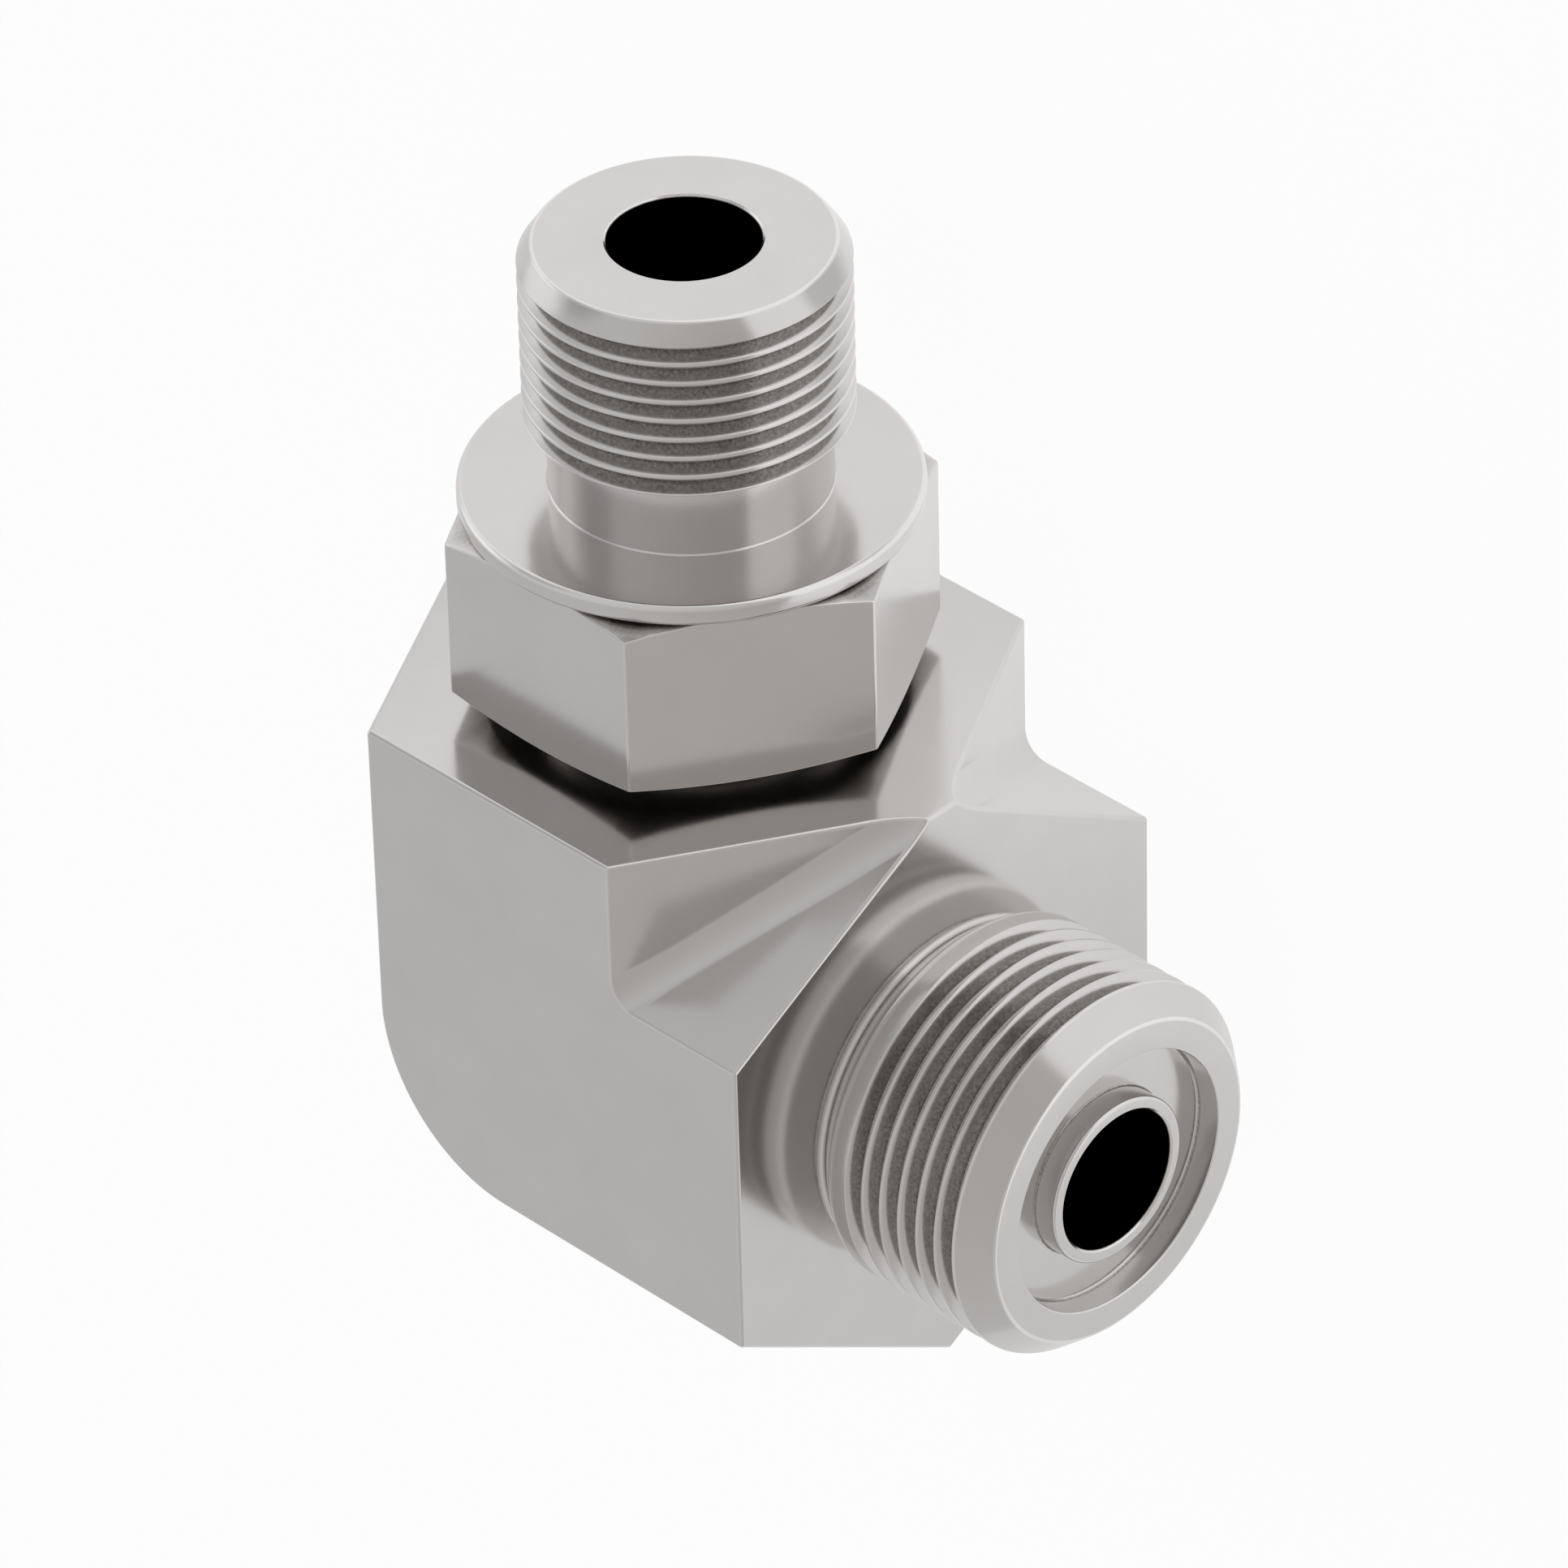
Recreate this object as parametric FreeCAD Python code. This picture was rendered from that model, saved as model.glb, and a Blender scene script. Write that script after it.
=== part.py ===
import FreeCAD, Part
import math
import os
from FreeCAD import Vector

# Ninety degree adapter elbow in bare steel, in millimetres.
# The tube end points along +X and the adjustable stud end along +Y. Both
# axes cross at half the body's thickness, and the elbow lies on its flat
# side, so the resting flat is z = 0 and the origin is on it, straight
# below the crossing.

# Body, two hexagon bars that meet in one corner
body_across_flats = 29.6
tube_face_reach = 17.15
stud_face_reach = 16.78
notch_radius = 1.7
body_edge_chamfer = 0.08

# Bores, drilled from both ends until they meet
bore_radius = 3.85
bore_edge_chamfer = 0.12
drill_point_angle = 118.0

# Stud end, its lengths counted from the body's end face
stud_length = 26.02
stud_thread_radius = 8.28
stud_thread_pitch = 1.09
stud_crest_width = 0.24
stud_groove_depth = 0.7
stud_thread_length = 9.7
stud_tip_radius = 7.55
stud_chamfer_length = 1.06
stud_tip_edge_chamfer = 0.12
seal_groove_length = 6.4
seal_groove_radius = 7.14
seal_groove_corner = 0.3
root_neck_radius = 7.3
root_neck_length = 1.2
root_neck_corner = 0.25

# Tube end, its lengths counted from the body's end face
tube_length = 11.91
tube_thread_radius = 10.18
tube_thread_pitch = 1.255
tube_crest_width = 0.5
tube_groove_depth = 0.65
tube_shoulder_width = 1.25
tube_shoulder_edge_chamfer = 0.25
tube_neck_radius = 9.05
tube_neck_length = 0.58
tube_neck_corner = 0.45
tube_land_radius = 8.84
tube_chamfer_length = 1.57
tube_land_edge_chamfer = 0.1
face_recess_radius = 7.2
face_recess_depth = 1.44
face_recess_corner = 0.15
boss_radius = 4.57
boss_drop = 0.09
boss_edge_chamfer = 0.2
boss_root_corner = 0.2

# Lock nut and backup washer, both on the stud
nut_across_flats = 22.0
nut_height = 10.0
nut_gap = 0.95
nut_chamfer_angle = 16.0
nut_face_radius = 10.75
nut_edge_radius = 0.2
nut_thread_clearance = 0.06
nut_mouth_chamfer = 0.5
washer_radius = 11.7
washer_thickness = 1.13
washer_clearance = 0.1
washer_rim_chamfer = 0.25

# Worked out from the sizes above
half_thickness = body_across_flats / 2
corner_reach = body_across_flats / math.sqrt(3)
flat_half_width = corner_reach / 2
stud_reach = stud_face_reach + stud_length
tube_reach = tube_face_reach + tube_length
boss_reach = tube_reach - boss_drop
adjusting_thread_radius = stud_thread_radius - stud_groove_depth / 2
nut_seat = stud_face_reach + nut_gap
washer_seat = nut_seat + nut_height

X_AXIS = Vector(1, 0, 0)
Y_AXIS = Vector(0, 1, 0)
Z_AXIS = Vector(0, 0, 1)
CROSSING = Vector(0, 0, 0)


def hexagon_bar(across_flats, length, along):
    """Hexagon bar from the crossing, with a pair of flats facing up and down."""
    corner = across_flats / math.sqrt(3)
    side = Y_AXIS if along == X_AXIS else X_AXIS
    points = []
    for step in range(7):
        angle = math.radians(60 * step)
        points.append(side * (corner * math.cos(angle)) + Z_AXIS * (corner * math.sin(angle)))
    return Part.Face(Part.makePolygon(points)).extrude(along * length)


def heel():
    """Outer bend of the body: half the hexagon turned a quarter round the crossing."""
    half_section = Part.makePolygon([
        Vector(0, 0, -half_thickness),
        Vector(-flat_half_width, 0, -half_thickness),
        Vector(-corner_reach, 0, 0),
        Vector(-flat_half_width, 0, half_thickness),
        Vector(0, 0, half_thickness),
        Vector(0, 0, -half_thickness),
    ])
    return Part.Face(half_section).revolve(CROSSING, Z_AXIS, 90)


def notch_fillet(side):
    """Rounded root where slanted flats of the two bars meet, on the upper or lower side."""
    stud_normal = Vector(math.cos(math.radians(30)), 0, side * math.sin(math.radians(30)))
    tube_normal = Vector(0, math.cos(math.radians(30)), side * math.sin(math.radians(30)))
    outward = stud_normal + tube_normal
    reach = corner_reach - flat_half_width
    run = Vector(reach, reach, -side * half_thickness)
    start = Vector(flat_half_width, flat_half_width, side * half_thickness) - run * 0.5
    centre = start + outward * (notch_radius / (1 + stud_normal.dot(tube_normal)))
    on_stud_bar = centre - stud_normal * notch_radius
    on_tube_bar = centre - tube_normal * notch_radius
    deepest = centre - outward * (notch_radius / outward.Length)
    inside = start - outward * notch_radius
    section = Part.Wire([
        Part.Arc(on_stud_bar, deepest, on_tube_bar).toShape(),
        Part.makeLine(on_tube_bar, inside),
        Part.makeLine(inside, on_stud_bar),
    ])
    wedge = Part.Face(section).extrude(run * 2)
    base = 0 if side > 0 else -half_thickness
    half = Part.makeBox(2 * corner_reach, 2 * corner_reach, half_thickness, Vector(0, 0, base))
    return wedge.common(half)


def sharp_edges(solid):
    """Edges where two faces meet at an angle, without the seams of smooth joins."""
    found = []
    for edge in solid.Edges:
        middle = edge.valueAt((edge.FirstParameter + edge.LastParameter) / 2)
        normals = []
        for face in solid.ancestorsOfType(edge, Part.Face):
            u, v = face.Surface.parameter(middle)
            normals.append(face.normalAt(u, v))
        if len(normals) == 2 and normals[0].getAngle(normals[1]) > math.radians(15):
            found.append(edge)
    return found


def body_block():
    """The forged block: two bars, the heel and the notches, faced off at both ends and deburred."""
    stud_bar = hexagon_bar(body_across_flats, stud_face_reach, Y_AXIS)
    tube_bar = hexagon_bar(body_across_flats, tube_face_reach, X_AXIS)
    block = stud_bar.fuse([tube_bar, heel(), notch_fillet(1), notch_fillet(-1)])
    room = Part.makeBox(
        corner_reach + tube_face_reach,
        corner_reach + stud_face_reach,
        body_across_flats,
        Vector(-corner_reach, -corner_reach, -half_thickness),
    )
    faced = block.common(room).removeSplitter().Solids[0]
    return faced.makeChamfer(body_edge_chamfer, sharp_edges(faced))


def eased_outline(points, cuts):
    """Closed outline through the points, each corner cut off by its own length along both sides."""
    count = len(points)
    outline = []
    for index in range(count):
        here = points[index]
        cut = cuts[index]
        if cut == 0:
            outline.append(here)
            continue
        back = points[index - 1] - here
        ahead = points[(index + 1) % count] - here
        back.normalize()
        ahead.normalize()
        outline.append(here + back * cut)
        outline.append(here + ahead * cut)
    outline.append(outline[0])
    return outline


def turned(corners, along):
    """Solid of revolution about an axis through the crossing.

    Each corner holds its radius, its distance along the axis and the length cut off it.
    """
    side = Y_AXIS if along == X_AXIS else X_AXIS
    points = [side * corner[0] + along * corner[1] for corner in corners]
    cuts = [corner[2] for corner in corners]
    return Part.Face(Part.makePolygon(eased_outline(points, cuts))).revolve(CROSSING, along, 360)


def thread_grooves(start, count, radius, pitch, crest_width, depth):
    """Corners of a row of thread grooves, with flat crests between them."""
    width = pitch - crest_width
    corners = []
    for step in range(count):
        near = start + step * pitch
        corners.append((radius, near, 0))
        corners.append((radius - depth, near + width / 2, 0))
        corners.append((radius, near + width, 0))
    return corners


def stud_end():
    """Turned stud: root neck, adjusting thread, seal groove, outer thread and chamfered tip.

    The nut's thread and the stud's meet at half their depth, so both are plain there.
    """
    adjusting_start = stud_face_reach + root_neck_length
    thread_start = stud_reach - stud_thread_length
    seal_start = thread_start - seal_groove_length
    chamfer_start = stud_reach - stud_chamfer_length
    count = math.floor((chamfer_start - thread_start + stud_crest_width) / stud_thread_pitch)
    first_groove = chamfer_start + stud_crest_width - count * stud_thread_pitch
    root = root_neck_radius + root_neck_corner
    step = adjusting_thread_radius - root_neck_radius
    corners = [
        (0, 0, 0),
        (root, 0, 0),
        (root, stud_face_reach, 0),
        (root_neck_radius, stud_face_reach + root_neck_corner, 0),
        (root_neck_radius, adjusting_start - step, 0),
        (adjusting_thread_radius, adjusting_start, 0),
        (adjusting_thread_radius, seal_start, 0),
        (seal_groove_radius, seal_start, seal_groove_corner),
        (seal_groove_radius, thread_start, seal_groove_corner),
        (stud_thread_radius, thread_start, 0),
    ]
    corners += thread_grooves(first_groove, count, stud_thread_radius, stud_thread_pitch,
                              stud_crest_width, stud_groove_depth)
    corners += [
        (stud_tip_radius, stud_reach, stud_tip_edge_chamfer),
        (0, stud_reach, 0),
    ]
    return turned(corners, Y_AXIS)


def tube_end():
    """Turned tube end: neck, outer thread, wide chamfer, and the recess round its boss."""
    neck_end = tube_face_reach + tube_neck_length
    shoulder_start = neck_end + tube_thread_radius - tube_neck_radius
    first_groove = shoulder_start + tube_shoulder_width
    chamfer_start = tube_reach - tube_chamfer_length
    count = math.floor((chamfer_start - first_groove + tube_crest_width) / tube_thread_pitch)
    floor = tube_reach - face_recess_depth
    root = tube_neck_radius + tube_neck_corner
    corners = [
        (0, 0, 0),
        (root, 0, 0),
        (root, tube_face_reach, 0),
        (tube_neck_radius, tube_face_reach + tube_neck_corner, 0),
        (tube_neck_radius, neck_end, 0),
        (tube_thread_radius, shoulder_start, tube_shoulder_edge_chamfer),
    ]
    corners += thread_grooves(first_groove, count, tube_thread_radius, tube_thread_pitch,
                              tube_crest_width, tube_groove_depth)
    corners += [
        (tube_thread_radius, chamfer_start, 0),
        (tube_land_radius, tube_reach, tube_land_edge_chamfer),
        (face_recess_radius, tube_reach, tube_land_edge_chamfer),
        (face_recess_radius, floor, face_recess_corner),
        (boss_radius, floor, boss_root_corner),
        (boss_radius, boss_reach, boss_edge_chamfer),
        (0, boss_reach, 0),
    ]
    return turned(corners, X_AXIS)


def bore(along, reach):
    """Drilled bore from an end down to the crossing, with the drill's point and an eased mouth."""
    point = bore_radius / math.tan(math.radians(drill_point_angle / 2))
    mouth = bore_radius + bore_edge_chamfer
    return turned([
        (0, -point, 0),
        (bore_radius, 0, 0),
        (bore_radius, reach - bore_edge_chamfer, 0),
        (mouth, reach, 0),
        (mouth, reach + bore_radius, 0),
        (0, reach + bore_radius, 0),
    ], along)


def elbow_body():
    """Body with both turned ends, drilled through."""
    body = body_block().fuse([stud_end(), tube_end()])
    body = body.cut([bore(Y_AXIS, stud_reach), bore(X_AXIS, boss_reach)])
    return body.removeSplitter()


def lock_nut():
    """Hexagon nut on the adjusting thread, chamfered on both faces."""
    corner = nut_across_flats / math.sqrt(3)
    hexagon = hexagon_bar(nut_across_flats, nut_height, Y_AXIS)
    upright = [edge for edge in hexagon.Edges if abs(edge.tangentAt(edge.FirstParameter).y) > 0.5]
    hexagon = hexagon.makeFillet(nut_edge_radius, upright)
    drop = (corner - nut_face_radius) * math.tan(math.radians(nut_chamfer_angle))
    thread_hole = adjusting_thread_radius + nut_thread_clearance
    mouth = thread_hole + nut_mouth_chamfer
    dressed = turned([
        (thread_hole, nut_mouth_chamfer, 0),
        (mouth, 0, 0),
        (nut_face_radius, 0, 0),
        (corner, drop, 0),
        (corner, nut_height - drop, 0),
        (nut_face_radius, nut_height, 0),
        (mouth, nut_height, 0),
        (thread_hole, nut_height - nut_mouth_chamfer, 0),
    ], Y_AXIS)
    nut = hexagon.common(dressed)
    nut.translate(Y_AXIS * nut_seat)
    return nut


def backup_washer():
    """Flat ring with eased rims, in the seal groove on top of the nut."""
    hole = seal_groove_radius + washer_clearance
    ring = turned([
        (hole, 0, 0),
        (washer_radius, 0, washer_rim_chamfer),
        (washer_radius, washer_thickness, washer_rim_chamfer),
        (hole, washer_thickness, 0),
    ], Y_AXIS)
    ring.translate(Y_AXIS * washer_seat)
    return ring


def save(name, shape):
    """Lift the crossing to half the body's thickness and write one piece."""
    shape = shape.copy()
    shape.translate(Z_AXIS * half_thickness)
    shape.exportStep(os.path.join("parts", name + ".step"))
    print(name, len(shape.Solids), shape.isValid(), round(shape.Volume, 1))


os.makedirs("parts", exist_ok=True)
save("elbow_body", elbow_body())
save("lock_nut", lock_nut())
save("backup_washer", backup_washer())
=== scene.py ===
import math

import bmesh
import bpy
from mathutils import Matrix, Vector
from mathutils.kdtree import KDTree


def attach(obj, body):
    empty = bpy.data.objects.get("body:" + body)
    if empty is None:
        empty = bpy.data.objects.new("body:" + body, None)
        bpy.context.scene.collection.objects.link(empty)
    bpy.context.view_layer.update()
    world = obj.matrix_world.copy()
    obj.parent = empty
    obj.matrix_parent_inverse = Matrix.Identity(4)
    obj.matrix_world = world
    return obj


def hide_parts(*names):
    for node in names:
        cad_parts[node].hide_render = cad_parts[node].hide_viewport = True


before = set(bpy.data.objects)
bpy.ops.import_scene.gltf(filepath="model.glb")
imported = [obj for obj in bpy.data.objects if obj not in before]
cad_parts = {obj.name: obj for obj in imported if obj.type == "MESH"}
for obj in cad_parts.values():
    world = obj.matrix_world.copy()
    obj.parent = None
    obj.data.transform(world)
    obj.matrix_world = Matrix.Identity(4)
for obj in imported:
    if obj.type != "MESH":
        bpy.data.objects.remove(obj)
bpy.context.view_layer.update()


# ---------------------------------------------------------------- elbow body
# One steel forging: two hexagon bars that meet at ninety degrees, with a
# conical heel round the outer bend. Both ends are turned and threaded on it
# and it is drilled through from each end. Zinc plated, satin, no paint.

# Sizes are in millimetres, and places along an axis are counted from the
# crossing of the two axes. The finished piece is scaled to metres.
MM = 0.001
X_AXIS = Vector((1, 0, 0))
Y_AXIS = Vector((0, 1, 0))
Z_AXIS = Vector((0, 0, 1))

# The forged block. Edges that bend less than smooth_bend aren't rounded, and
# faces that bend less than level_bend are joined.
across_flats = 29.6
half_thickness = across_flats / 2
corner_reach = across_flats / math.sqrt(3)
flat_reach = corner_reach / 2
crossing = Vector((0, 0, half_thickness))
stud_face = 16.78
tube_face = 17.15
bar_end = 22.0
heel_steps = 60
notch_radius = 1.7
notch_steps = 14
block_edge_radius = 0.24
smooth_bend = 12.0
level_bend = 0.3
level_gap = 0.001
rounding_steps = 4
rounding_highlight = 0.15
sharp_bend = 35.0

# Both turned ends start inside the block and overlap it a little.
blank_start = 12.0
stud_blank_radius = 8.0
tube_blank_radius = 9.7
sunk = 0.005
turning_steps = 160

# The drilled passage.
bore_radius = 3.85
bore_mouth_edge = 0.12
bore_rim_radius = 4.12
drill_half_angle = 59.0
drill_point = bore_radius / math.tan(math.radians(drill_half_angle))
drill_start = 3.0
drilling_steps = 112

# The stud end, from the block to its tip.
root_neck_radius = 7.3
root_neck_end = 17.35
adjusting_thread_start = 17.98
adjusting_thread_radius = 7.93
adjusting_thread_ease = 0.05
seal_groove_start = 26.7
seal_groove_radius = 7.14
seal_groove_corner = 0.3
outer_thread_start = 33.1
outer_thread_radius = 8.28
outer_thread_pitch = 1.09
outer_crest = 0.17
outer_depth = 0.75
outer_grooves = 8
outer_glint = 0.35
stud_chamfer_start = 41.74
stud_tip = 42.8
stud_tip_radius = 7.55

# The tube end, from the block to its tip, and its face recess.
tube_neck_radius = 9.05
tube_neck_end = 17.52
tube_thread_radius = 10.18
tube_shoulder_start = 18.86
tube_first_groove = 20.02
tube_thread_pitch = 1.255
tube_crest = 0.2
tube_depth = 0.8
tube_grooves = 6
tube_chamfer_start = 27.49
tube_tip = 29.06
tube_land_radius = 8.84
recess_radius = 7.2
recess_floor = 27.62
recess_wall_end = recess_floor + 0.24
recess_relief_height = 0.14
recess_relief_width = 0.1
recess_floor_rim = recess_radius - 0.22
boss_radius = 4.57
boss_tip = 28.97

# Both threads are cut with one form of tool.
flank_angle = 25.5
crest_ease = 0.06
far_crest_ease = crest_ease * 0.4
flank_bend = 0.8

# Points nearer than these are merged, are a sliver, or are at their old place.
merge_gap = 0.0005
sliver_gap = 0.0002
same_place_gap = 0.002


def linked(name, solid):
    """Object with the solid's mesh, in the scene."""
    mesh = bpy.data.meshes.new(name)
    solid.to_mesh(mesh)
    piece = bpy.data.objects.new(name, mesh)
    bpy.context.scene.collection.objects.link(piece)
    return piece


def evaluated(piece):
    """Solid that an object's modifiers give. The object itself goes."""
    graph = bpy.context.evaluated_depsgraph_get()
    result = bmesh.new()
    result.from_mesh(piece.evaluated_get(graph).to_mesh())
    bpy.data.objects.remove(piece)
    return result


def closed(solid):
    """Merge what a spin or a sweep left double, and turn every face outwards."""
    bmesh.ops.remove_doubles(solid, verts=solid.verts, dist=merge_gap)
    bmesh.ops.dissolve_degenerate(solid, edges=solid.edges, dist=sliver_gap)
    bmesh.ops.recalc_face_normals(solid, faces=solid.faces)
    return solid


def combined(first, second, operation):
    """Join, cut or trim the first solid with the second one."""
    piece = linked("blank", first)
    tool = linked("tool", second)
    step = piece.modifiers.new("combine", "BOOLEAN")
    step.operation = operation
    step.solver = "EXACT"
    step.object = tool
    result = evaluated(piece)
    bpy.data.objects.remove(tool)
    first.free()
    second.free()
    return closed(result)


def toned(solid):
    """The layer that holds each point's tone of painted light and shade, made if the solid has
    none.
    """
    layers = solid.verts.layers.float
    return layers.get("tone") or layers.new("tone")


def combined_keeping_tone(first, second, operation):
    """Combine two solids and give each place that is left the tone it had before."""
    notes = []
    for solid in (first, second):
        tone = toned(solid)
        notes += [(vert.co.copy(), vert[tone]) for vert in solid.verts]
    places = KDTree(len(notes))
    for index, (place, shade) in enumerate(notes):
        places.insert(place, index)
    places.balance()
    result = combined(first, second, operation)
    tone = toned(result)
    for vert in result.verts:
        index, gap = places.find(vert.co)[1:]
        vert[tone] = notes[index][1] if gap < same_place_gap else 0
    return result


def corner(radius, place, ease=0, tone=0):
    """Corner of a turned outline, with the length of its rounding and its tone.

    The tone is painted light and shade: up to 1 is a painted highlight on an edge, down to -1
    painted shade in a groove or corner, and -2 a bore painted black as shade.
    """
    return radius, place, ease, tone


def outline(corners, side, along):
    """Open outline in the half plane of an axis, with its corners rounded."""
    wire = bmesh.new()
    layer = toned(wire)
    verts = []
    for radius, place, ease, tone in corners:
        verts.append(wire.verts.new(crossing + side * radius + along * place))
        verts[-1][layer] = tone
    for near, far in zip(verts, verts[1:]):
        wire.edges.new((near, far))
    for vert, (radius, place, ease, tone) in zip(verts, corners):
        if ease:
            eased = bmesh.ops.bevel(wire, geom=[vert], offset=ease, offset_type="OFFSET",
                                    segments=rounding_steps, profile=0.5, affect="VERTICES",
                                    material=-1)["verts"]
            for part in eased:
                inner = all(edge.other_vert(part) in eased for edge in part.link_edges)
                part[layer] = tone if inner else 0
    return wire


def turned(corners, along, steps=turning_steps):
    """Solid turned about an axis through the crossing."""
    side = Y_AXIS if along == X_AXIS else X_AXIS
    solid = outline(corners, side, along)
    bmesh.ops.spin(solid, geom=solid.verts[:] + solid.edges[:], cent=crossing, axis=along,
                   angle=math.radians(360), steps=steps, use_merge=True)
    return closed(solid)


def grooves(start, count, radius, pitch, crest, depth, glint):
    """Corners of a row of thread grooves: flat crests with painted glints and a narrow root, with
    painted shade in the root and on the tip's side.
    """
    lean = math.tan(math.radians(flank_angle))
    slope = depth * lean
    corners = []
    for step in range(count):
        near = start + step * pitch
        far = near + pitch - crest
        corners += [corner(radius, near, ease=crest_ease, tone=glint),
                    corner(radius - depth * flank_bend, near + slope * flank_bend),
                    corner(radius - depth, near + slope, tone=-0.5),
                    corner(radius - depth, far - slope, tone=-1),
                    corner(radius - crest_ease, far - crest_ease * lean, tone=-1),
                    corner(radius, far, ease=far_crest_ease, tone=glint / 2)]
    return corners


def pulled(block, edge, high_move, low_move):
    """Pull an edge of the wall on, its upper and its lower end each by their own move."""
    geometry = bmesh.ops.extrude_edge_only(block, edges=[edge])["geom"]
    high, low = sorted((part for part in geometry if isinstance(part, bmesh.types.BMVert)),
                       key=lambda vert: -vert.co.z)
    bmesh.ops.translate(block, verts=[high], vec=high_move)
    bmesh.ops.translate(block, verts=[low], vec=low_move)
    return next(part for part in geometry if isinstance(part, bmesh.types.BMEdge))


def notch_section():
    """Points of the notch's rounded root on the upper flat, from the tube bar to the stud bar."""
    stud_flat = Vector((math.cos(math.radians(30)), 0, 0.5))
    tube_flat = Vector((0, math.cos(math.radians(30)), 0.5))
    run = Vector((flat_reach, flat_reach, -half_thickness))
    root = crossing + Vector((flat_reach, flat_reach, half_thickness))
    centre = root + (stud_flat + tube_flat) * (notch_radius / (1 + stud_flat.dot(tube_flat)))
    bend = stud_flat.angle(tube_flat)
    axis = tube_flat.cross(stud_flat).normalized()
    points = []
    for step in range(notch_steps + 1):
        arm = -(Matrix.Rotation(bend * step / notch_steps, 3, axis) @ tube_flat)
        point = centre + arm * notch_radius
        points.append(point + run * ((point.z - root.z) / half_thickness))
    return points


def upper_wall():
    """Slanted sides of the upper half, all round, with bars that run on past their end faces."""
    block = bmesh.new()
    high = block.verts.new(crossing + Vector((-flat_reach, bar_end, half_thickness)))
    low = block.verts.new(crossing + Vector((-corner_reach, bar_end, 0)))
    slant = corner_reach - flat_reach

    # Outer side: along the stud bar, round the heel and out along the tube bar.
    edge = pulled(block, block.edges.new((high, low)), Y_AXIS * -bar_end, Y_AXIS * -bar_end)
    spun = bmesh.ops.spin(block, geom=[edge] + list(edge.verts), cent=crossing, axis=Z_AXIS,
                          angle=math.radians(90), steps=heel_steps, use_merge=False)["geom_last"]
    edge = next(part for part in spun if isinstance(part, bmesh.types.BMEdge))
    edge = pulled(block, edge, X_AXIS * bar_end, X_AXIS * bar_end)
    edge = pulled(block, edge, Y_AXIS * corner_reach, Y_AXIS * 2 * corner_reach)

    # Inner side: back along the tube bar, round the notch and out along the stud bar.
    at = crossing + Vector((bar_end, flat_reach, half_thickness))
    for point in notch_section():
        slip = X_AXIS * slant if at.x == bar_end else Vector((0, 0, 0))
        edge = pulled(block, edge, point - at, point - at + slip)
        at = point
    move = crossing + Vector((flat_reach, bar_end, half_thickness)) - at
    edge = pulled(block, edge, move, move - Y_AXIS * slant)
    pulled(block, edge, X_AXIS * -corner_reach, X_AXIS * -2 * corner_reach)
    bmesh.ops.remove_doubles(block, verts=block.verts, dist=merge_gap)
    return block


def faced(block, place, along):
    """Cut the block square at an end and close the cut."""
    geometry = block.verts[:] + block.edges[:] + block.faces[:]
    cut = bmesh.ops.bisect_plane(block, geom=geometry, plane_co=crossing + along * place,
                                 plane_no=along, clear_outer=True)["geom_cut"]
    rim = [part for part in cut if isinstance(part, bmesh.types.BMEdge)]
    bmesh.ops.contextual_create(block, geom=rim)


def bevelled(solid, radius):
    """Round the edges that carry a weight, and paint a faint highlight on the roundings."""
    piece = linked("blank", solid)
    piece.data.materials.append(None)
    piece.data.materials.append(None)
    step = piece.modifiers.new("round", "BEVEL")
    step.width = radius
    step.segments = rounding_steps
    step.limit_method = "WEIGHT"
    step.use_clamp_overlap = False
    step.material = 1
    result = evaluated(piece)
    solid.free()
    tone = toned(result)
    for vert in result.verts:
        rounded = all(face.material_index == 1 for face in vert.link_faces)
        vert[tone] = rounding_highlight if rounded else 0
    for face in result.faces:
        face.material_index = 0
    return closed(result)


def forged_block():
    """Both bars, the heel and the notches, faced off at the ends, with rounded edges."""
    block = upper_wall()
    rim = [edge for edge in block.edges
           if all(vert.co.z > across_flats - level_gap for vert in edge.verts)]
    bmesh.ops.contextual_create(block, geom=rim)
    geometry = block.verts[:] + block.edges[:] + block.faces[:]
    lower = bmesh.ops.duplicate(block, geom=geometry)["geom"]
    bmesh.ops.scale(block, verts=[part for part in lower if isinstance(part, bmesh.types.BMVert)],
                    vec=Vector((1, 1, -1)), space=Matrix.Translation(-crossing))
    faced(closed(block), stud_face, Y_AXIS)
    faced(block, tube_face, X_AXIS)
    closed(block)
    bmesh.ops.dissolve_limit(block, angle_limit=math.radians(level_bend), verts=block.verts,
                             edges=block.edges)
    weight = block.edges.layers.float.new("bevel_weight_edge")
    for edge in block.edges:
        turn = edge.calc_face_angle()
        if turn > math.radians(smooth_bend):
            edge[weight] = min(1, math.tan(turn / 2))
    return bevelled(block, block_edge_radius)


def stud_end():
    """Stud end: root neck, adjusting thread, seal groove, outer thread and chamfered tip."""
    first_groove = stud_chamfer_start + outer_crest - outer_grooves * outer_thread_pitch
    # Positive tones paint highlights on edges and crests; negative ones paint shade in the grooves.
    return turned([
        corner(0, blank_start),
        corner(stud_blank_radius, blank_start),
        corner(stud_blank_radius, stud_face - sunk),
        corner(root_neck_radius, stud_face - sunk, ease=0.25),
        corner(root_neck_radius, root_neck_end),
        corner(adjusting_thread_radius, adjusting_thread_start, ease=adjusting_thread_ease),
        corner(adjusting_thread_radius, seal_groove_start, ease=adjusting_thread_ease),
        corner(seal_groove_radius, seal_groove_start, ease=seal_groove_corner),
        corner(seal_groove_radius, outer_thread_start, ease=seal_groove_corner),
        corner(outer_thread_radius, outer_thread_start, ease=crest_ease, tone=0.7),
        *grooves(first_groove, outer_grooves, outer_thread_radius, outer_thread_pitch,
                 outer_crest, outer_depth, outer_glint),
        corner(stud_tip_radius, stud_tip, ease=0.16, tone=0.5),
        corner(bore_rim_radius, stud_tip),
        corner(0, stud_tip)], Y_AXIS)


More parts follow.
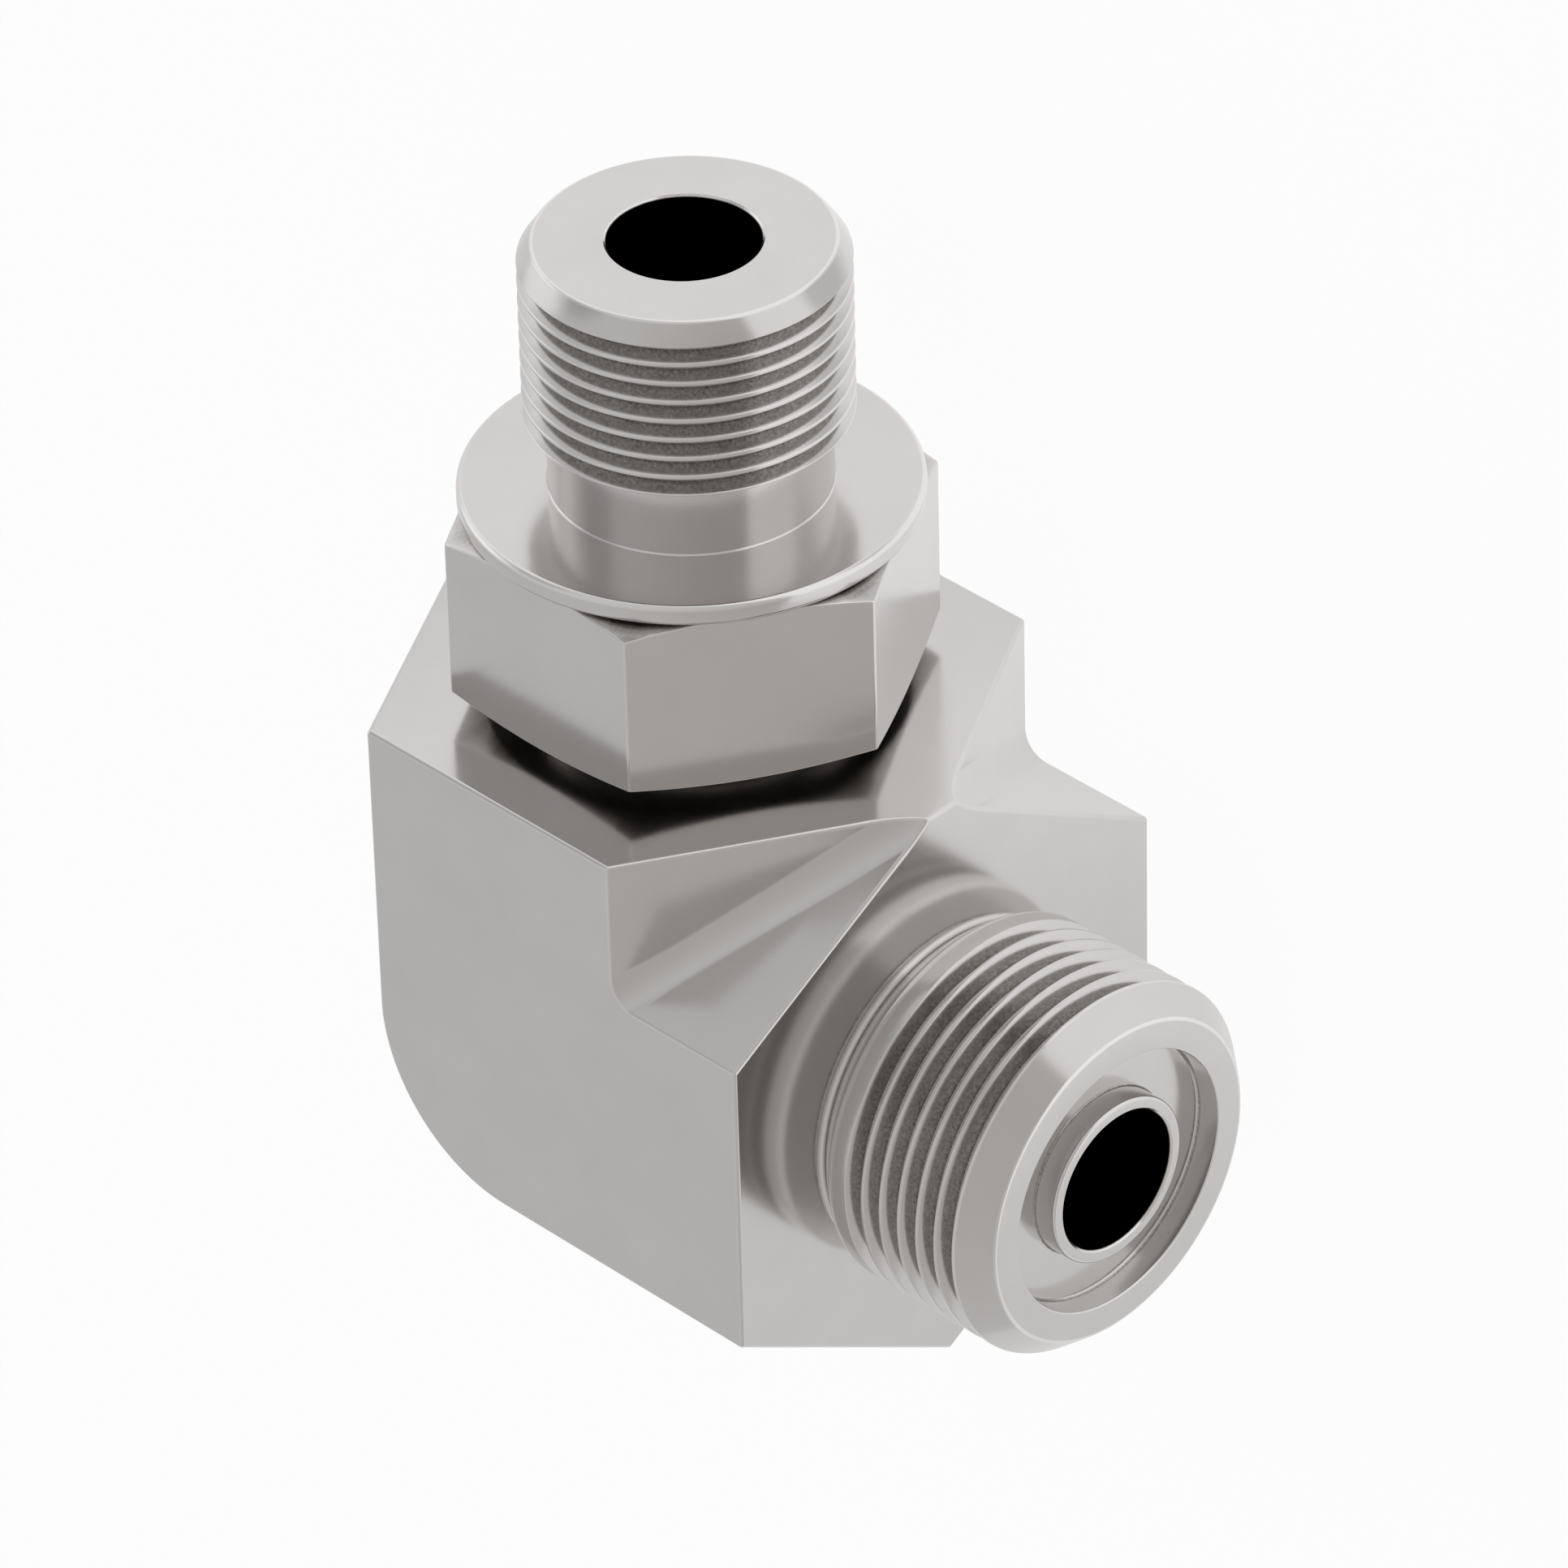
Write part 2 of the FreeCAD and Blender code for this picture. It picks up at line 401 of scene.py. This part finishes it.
def tube_end():
    """Tube end: neck, shoulder, thread, chamfered tip, and the recess round its boss."""
    # Positive tones paint highlights on edges; negative ones paint shade in the grooves and in the
    # corners of the neck, the recess and the boss.
    return turned([
        corner(0, blank_start),
        corner(tube_blank_radius, blank_start),
        corner(tube_blank_radius, tube_face - sunk),
        corner(tube_neck_radius, tube_face - sunk, ease=0.3),
        corner(tube_neck_radius, tube_neck_end, ease=0.1, tone=-0.9),
        corner(tube_thread_radius, tube_shoulder_start, ease=0.3, tone=0.6),
        *grooves(tube_first_groove, tube_grooves, tube_thread_radius, tube_thread_pitch,
                 tube_crest, tube_depth, 0),
        corner(tube_thread_radius, tube_chamfer_start, ease=0.08, tone=0.3),
        corner(tube_land_radius, tube_tip, ease=0.14, tone=0.6),
        corner(recess_radius, tube_tip, ease=0.1, tone=0.4),
        corner(recess_radius, recess_wall_end),
        corner(recess_radius, recess_floor + recess_relief_height, tone=-1),
        corner(recess_radius - recess_relief_width, recess_floor, tone=0.3),
        corner(recess_floor_rim, recess_floor),
        corner(boss_radius, recess_floor, ease=0.12, tone=-0.8),
        corner(boss_radius, boss_tip, ease=0.18, tone=0.3),
        corner(bore_rim_radius, boss_tip),
        corner(0, boss_tip)], X_AXIS)


def bore(along, reach):
    """Drilled bore with the drill's point beyond the crossing and an eased mouth, painted black
    inside as shade, with a painted highlight on the mouth.
    """
    mouth = bore_radius + bore_mouth_edge
    return turned([
        corner(0, -drill_point, tone=-2),
        corner(bore_radius, 0, tone=-2),
        corner(bore_radius, reach - bore_mouth_edge, tone=-2),
        corner((bore_radius + mouth) / 2, reach - bore_mouth_edge / 2, tone=0.8),
        corner(mouth, reach),
        corner(mouth, reach + drill_start),
        corner(0, reach + drill_start)], along, drilling_steps)


def finished(name, solid):
    """The piece in metres, with smooth rounded faces and level flat ones."""
    bmesh.ops.scale(solid, verts=solid.verts, vec=Vector((MM, MM, MM)))
    piece = linked(name, solid)
    solid.free()
    piece.data.shade_smooth()
    piece.data.set_sharp_from_angle(angle=math.radians(sharp_bend))
    level = piece.modifiers.new("level faces", "WEIGHTED_NORMAL")
    level.keep_sharp = True
    return piece


class Flow:
    """A value or colour on its way through a finish, so that sums on it read as sums."""

    def __init__(self, finish, socket):
        self.finish = finish
        self.socket = socket

    def step(self, operation, first, second):
        """Math node on two values."""
        return self.finish.node("Math", {"operation": operation}, {0: first, 1: second})

    def __add__(self, other):
        return self.step("ADD", self, other)

    def __radd__(self, other):
        return self.step("ADD", other, self)

    def __sub__(self, other):
        return self.step("SUBTRACT", self, other)

    def __rsub__(self, other):
        return self.step("SUBTRACT", other, self)

    def __mul__(self, other):
        return self.step("MULTIPLY", self, other)

    def __rmul__(self, other):
        return self.step("MULTIPLY", other, self)


class Finish:
    """The nodes of a finish or of the sky, and the shader that they feed."""

    def __init__(self, tree, shader):
        self.nodes = tree.nodes
        self.links = tree.links
        self.shader = tree.nodes[shader]

    def node(self, kind, settings, values, output=0):
        """Node of a type, with its settings or a ramp's stops, and its values or links."""
        made = self.nodes.new("ShaderNode" + kind)
        for name, setting in settings.items():
            if name == "stops":
                ramp = made.color_ramp
                for stop, (place, colour) in zip(ramp.elements, setting):
                    stop.position = place
                    stop.color = (*colour, 1)
            else:
                setattr(made, name, setting)
        for name, value in values.items():
            self.feed(made.inputs[name], value)
        return Flow(self, made.outputs[output])

    def feed(self, socket, value):
        """Give a socket a link or a fixed value."""
        if isinstance(value, Flow):
            self.links.new(value.socket, socket)
        else:
            socket.default_value = value

    def set(self, name, value):
        """Feed an input of the shader."""
        self.feed(self.shader.inputs[name], value)

    def clamped(self, value):
        """Value kept between 0 and 1."""
        return self.node("Clamp", {}, {"Value": value})

    def mixed(self, share, first, second):
        """Colour between two colours, through the colour sockets of the node."""
        return self.node("Mix", {"data_type": "RGBA"}, {0: share, 6: first, 7: second}, 2)


steel_colour = (0.67, 0.652, 0.643)
steel_roughness = 0.17
plate_light = tuple(part * 1.02 for part in steel_colour)
plate_dark = tuple(part * 0.97 for part in steel_colour)
painted_highlight_colour = (0.98, 0.97, 0.96, 1)
painted_highlight_share = 0.85
plate_stops = [(0.3, plate_dark), (0.7, plate_light)]
painted_shade_stops = [(0.35, (0.2, 0.19, 0.18)), (0.65, (0.42, 0.4, 0.38))]
bore_shade_colour = (0.006, 0.006, 0.006, 1)
cloud_scale = 260
cloud_share = 0.7
grain_scale = 7000
noise_middle = 0.5
cloud_roughness = 0.03
grain_roughness = 0.06
groove_roughness = 0.05
grain_height = 0.00002
grain_strength = 0.03


def plated_steel(name):
    """Bright zinc plated steel, slightly cloudy, with painted highlights along its edges, painted
    shade in its grooves and corners, and bores painted black as shade.
    """
    material = bpy.data.materials.new(name)
    material.use_nodes = True
    finish = Finish(material.node_tree, "Principled BSDF")
    place = finish.node("TexCoord", {}, {}, "Object")
    cloud = finish.node("TexNoise", {}, {"Vector": place, "Scale": cloud_scale, "Detail": 3,
                                         "Roughness": 0.55})
    grain = finish.node("TexNoise", {}, {"Vector": place, "Scale": grain_scale, "Detail": 2,
                                         "Roughness": 0.6})
    tone = finish.node("Attribute", {"attribute_name": "tone"}, {}, "Fac")
    painted_highlight = finish.clamped(tone)
    painted_shade = finish.clamped(0 - tone)
    # Painted shade: a tone below -1 paints the bores near black.
    painted_bore_shade = finish.clamped((0 - tone) - 1)
    plate = finish.node("ValToRGB", {"stops": plate_stops},
                        {"Fac": cloud * cloud_share + grain * (1 - cloud_share)})
    # Painted shade: the tone's dark part darkens the plating in thread grooves and inner corners.
    cut = finish.node("ValToRGB", {"stops": painted_shade_stops}, {"Fac": grain})
    # Painted highlight: the tone's bright part mixes a near-white into the plating along the edges.
    edge = finish.mixed(painted_highlight * painted_highlight_share, plate, painted_highlight_colour)
    thread = finish.mixed(painted_shade, edge, cut)
    finish.set("Base Color", finish.mixed(painted_bore_shade, thread, bore_shade_colour))
    finish.set("Metallic", 1)
    finish.set("Roughness", steel_roughness + (cloud - noise_middle) * cloud_roughness
               + (grain - noise_middle) * grain_roughness + painted_shade * groove_roughness)
    finish.set("Normal", finish.node("Bump", {}, {"Strength": grain_strength,
                                                  "Distance": grain_height, "Height": grain}))
    return material


body = combined_keeping_tone(forged_block(), stud_end(), "UNION")
body = combined_keeping_tone(body, tube_end(), "UNION")
passage = combined_keeping_tone(bore(Y_AXIS, stud_tip), bore(X_AXIS, boss_tip), "UNION")
body = combined_keeping_tone(body, passage, "DIFFERENCE")
elbow = finished("steel_elbow", body)
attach(elbow, "elbow")
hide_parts("elbow_body")
elbow.data.materials.append(plated_steel("plated_steel_body"))


# ------------------------------------------------------------------ lock nut
# Hexagon nut cut from bar, chamfered on both faces, on the stud's adjusting
# thread. It holds the washer against the port. Same plating as the body.

nut_width = 22.0
nut_height = 10.0
nut_seat = 17.73
nut_top = nut_seat + nut_height
nut_face_radius = 10.75
nut_face_ease = 0.05
nut_cone_angle = 16.0
nut_cone_spare = 0.3
nut_cone_radius = nut_width / math.sqrt(3) + nut_cone_spare
nut_cone_drop = (nut_cone_radius - nut_face_radius) * math.tan(math.radians(nut_cone_angle))
nut_cone_steps = 192
nut_edge_radius = 0.12
nut_edge_bend = 20.0
nut_flat_lean = 0.01
nut_flat_edge_weight = 0.8
nut_rim_reach = 0.1
nut_rim_shade = -1.3
nut_hole = 7.99
nut_mouth = 8.49
nut_mouth_depth = 0.5
nut_spare = 1.0


def hexagon_bar(width, start, length):
    """Hexagon bar along the stud's axis, flats facing up and down."""
    solid = bmesh.new()
    ring = bmesh.ops.create_circle(solid, cap_ends=True, segments=6,
                                   radius=width / math.sqrt(3))["verts"]
    for turn, about in ((30, "Z"), (90, "X")):
        bmesh.ops.rotate(solid, verts=ring, matrix=Matrix.Rotation(math.radians(turn), 3, about))
    bmesh.ops.translate(solid, verts=ring, vec=crossing + Y_AXIS * start)
    pushed = bmesh.ops.extrude_face_region(solid, geom=list(solid.faces))["geom"]
    moved = [part for part in pushed if isinstance(part, bmesh.types.BMVert)]
    bmesh.ops.translate(solid, verts=moved, vec=Y_AXIS * length)
    return closed(solid)


bar = hexagon_bar(nut_width, nut_seat - nut_spare, nut_height + 2 * nut_spare)
cone = turned([
    corner(0, nut_seat),
    corner(nut_face_radius, nut_seat, ease=nut_face_ease, tone=0.6),
    corner(nut_cone_radius, nut_seat + nut_cone_drop),
    corner(nut_cone_radius, nut_top - nut_cone_drop),
    corner(nut_face_radius, nut_top, ease=nut_face_ease, tone=0.6),
    corner(0, nut_top)], Y_AXIS, nut_cone_steps)
nut = combined(bar, cone, "INTERSECT")
weight = nut.edges.layers.float.new("bevel_weight_edge")
for edge in nut.edges:
    flats = sum(abs(face.normal.y) < nut_flat_lean for face in edge.link_faces)
    if flats and edge.calc_face_angle() > math.radians(nut_edge_bend):
        edge[weight] = 1 if flats == 2 else nut_flat_edge_weight
nut = bevelled(nut, nut_edge_radius)
# Painted shade along the ring where each face meets its chamfer, for the dark gap under the
# washer's rim.
tone = toned(nut)
for vert in nut.verts:
    radius = (vert.co - crossing - Y_AXIS * vert.co.y).length
    if abs(radius - nut_face_radius) < nut_rim_reach:
        vert[tone] = nut_rim_shade
# The hole is painted with shade along its thread.
hole = turned([
    corner(0, nut_seat - nut_spare),
    corner(nut_mouth + nut_spare, nut_seat - nut_spare),
    corner(nut_hole, nut_seat + nut_mouth_depth, tone=-1),
    corner(nut_hole, nut_top - nut_mouth_depth, tone=-1),
    corner(nut_mouth + nut_spare, nut_top + nut_spare),
    corner(0, nut_top + nut_spare)], Y_AXIS)
nut = combined_keeping_tone(nut, hole, "DIFFERENCE")
lock_nut = finished("steel_lock_nut", nut)
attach(lock_nut, "nut")
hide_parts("lock_nut")
lock_nut.data.materials.append(plated_steel("plated_steel_nut"))


# ------------------------------------------------------------- backup washer
# Flat steel ring in the seal groove, on top of the nut. It backs up the seal
# ring of the port. Blanked with eased rims and plated.

washer_seat = 27.73
washer_height = 1.13
washer_top = washer_seat + washer_height
washer_rim = 11.7
washer_ease = 0.3
washer_hole = 7.142
washer_lip = 0.08
washer_chamfer_height = 0.15
washer_chamfer_width = 0.1
washer_steps = 192

# The tones paint a highlight on the top rim and on the lip of the hole.
ring = turned([
    corner(washer_hole, washer_seat + washer_chamfer_height),
    corner(washer_hole + washer_chamfer_width, washer_seat),
    corner(washer_rim, washer_seat, ease=washer_ease),
    corner(washer_rim, washer_top, ease=washer_ease, tone=0.5),
    corner(washer_hole + washer_lip, washer_top),
    corner(washer_hole, washer_top + washer_lip, tone=0.3),
    corner(washer_hole, washer_seat + washer_chamfer_height)], Y_AXIS, washer_steps)
washer = finished("steel_backup_washer", ring)
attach(washer, "washer")
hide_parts("backup_washer")
washer.data.materials.append(plated_steel("plated_steel_washer"))


# --------------------------------------------------------------------- floor
# A plain painted floor under the part, in metres. It shows white to the camera
# and pale in the steel, with painted shade on its glow that makes it dimmer on
# the heel's side and under the stud's tip, and it keeps a shadow.

floor_radius = 3.0
floor_steps = 96
floor_colour = (0.9, 0.9, 0.9, 1)
floor_roughness = 0.9
floor_glow_share = 0.95
white_light = (1, 1, 1, 1)
ends_direction = (0.5, 0.85, 0)
ends_reach = (0.0, 0.03)
heel_side_light = 0.8
dim_spot = (0.014, 0.047, 0)
dim_spot_reach = (0.005, 0.011)
dim_spot_light = 0.68


def rising(finish, value, reach, low=0.0):
    """Smooth rise from a low value to one, while another value runs through its reach."""
    start, end = reach
    return finish.node("MapRange", {"interpolation_type": "SMOOTHSTEP"},
                       {"Value": value, "From Min": start, "From Max": end,
                        "To Min": low, "To Max": 1.0})


def reached(finish, place, direction):
    """How far a place lies in a direction."""
    return finish.node("VectorMath", {"operation": "DOT_PRODUCT"}, {0: place, 1: direction},
                       "Value")


floor_mesh = bmesh.new()
bmesh.ops.create_circle(floor_mesh, cap_ends=True, segments=floor_steps, radius=floor_radius)
floor = linked("floor", floor_mesh)
floor_mesh.free()
paint = bpy.data.materials.new("white_floor")
paint.use_nodes = True
paper = Finish(paint.node_tree, "Principled BSDF")
paper.set("Base Color", floor_colour)
paper.set("Roughness", floor_roughness)
seen, mirrored, through = (paper.node("LightPath", {}, {}, ray) for ray in
                           ("Is Camera Ray", "Is Glossy Ray", "Is Transmission Ray"))
spot = paper.node("TexCoord", {}, {}, "Object")
away = paper.node("VectorMath", {"operation": "DISTANCE"}, {0: spot, 1: dim_spot}, "Value")
# Painted shade on the floor's glow: dimmer towards the heel's side and in a spot under the stud's
# tip.
light = (rising(paper, reached(paper, spot, ends_direction), ends_reach, heel_side_light)
         * rising(paper, away, dim_spot_reach, dim_spot_light))
white = paper.node("Emission", {}, {"Color": white_light, "Strength": seen + (1 - seen) * light})
surface = paper.node("MixShader", {}, {0: (seen + mirrored) * floor_glow_share + through,
                                       1: Flow(paper, paper.shader.outputs[0]), 2: white})
paper.feed(paper.nodes["Material Output"].inputs["Surface"], surface)
floor.data.materials.append(paint)


# ----------------------------------------------------------------- pale room
# The room round the part, which lights it evenly. It is dimmer on the right
# and behind the tube end, and brighter on the left. The camera sees white.

room_light = 0.64
right_loss = 0.12
right_tint = (1, 0.96, 0.92, 1)
dim_corner = (-0.57, 0.59, 0.58)
dim_corner_reach = (0.92, 0.99)
dim_corner_loss = 0.18
window = (-0.917, 0.255, 0.306)
window_reach = (0.86, 0.98)
window_gain = 0.4

world = bpy.data.worlds.new("pale_room")
bpy.context.scene.world = world
world.use_nodes = True
sky = Finish(world.node_tree, "Background")
toward = sky.node("TexCoord", {}, {}, "Generated")
right = sky.clamped(sky.node("SeparateXYZ", {}, {0: toward}, "X"))
behind = rising(sky, reached(sky, toward, dim_corner), dim_corner_reach)
glow = rising(sky, reached(sky, toward, window), window_reach)
shade = room_light - right * right_loss - behind * dim_corner_loss + glow * window_gain
seen = sky.node("LightPath", {}, {}, "Is Camera Ray")
sky.set("Color", sky.mixed(seen, sky.mixed(right, white_light, right_tint), white_light))
sky.set("Strength", shade + (1 - shade) * seen)


# -------------------------------------------------------------------- camera
# A long lens far off, which looks on both ends and on the body's corner from
# above, rolled a little. Its places are in millimetres.

camera = bpy.data.cameras.new("camera")
camera.lens = 249.7257
camera.sensor_width = 36
camera.clip_start = 0.01
camera.clip_end = 20
camera_place = Vector((323.6714, 329.3119, 324.5626)) * MM
camera_aim = Vector((6.0010, 12.9303, 14.8)) * MM
camera_roll = -1.4833

viewer = bpy.data.objects.new("camera", camera)
bpy.context.scene.collection.objects.link(viewer)
backwards = (camera_place - camera_aim).normalized()
rightwards = Y_AXIS.cross(backwards).normalized()
rightwards.rotate(Matrix.Rotation(math.radians(camera_roll), 3, backwards))
upwards = backwards.cross(rightwards)
view = Matrix((rightwards, upwards, backwards)).transposed().to_4x4()
view.translation = camera_place
viewer.matrix_world = view
bpy.context.scene.camera = viewer
bpy.context.scene.view_settings.view_transform = "Standard"
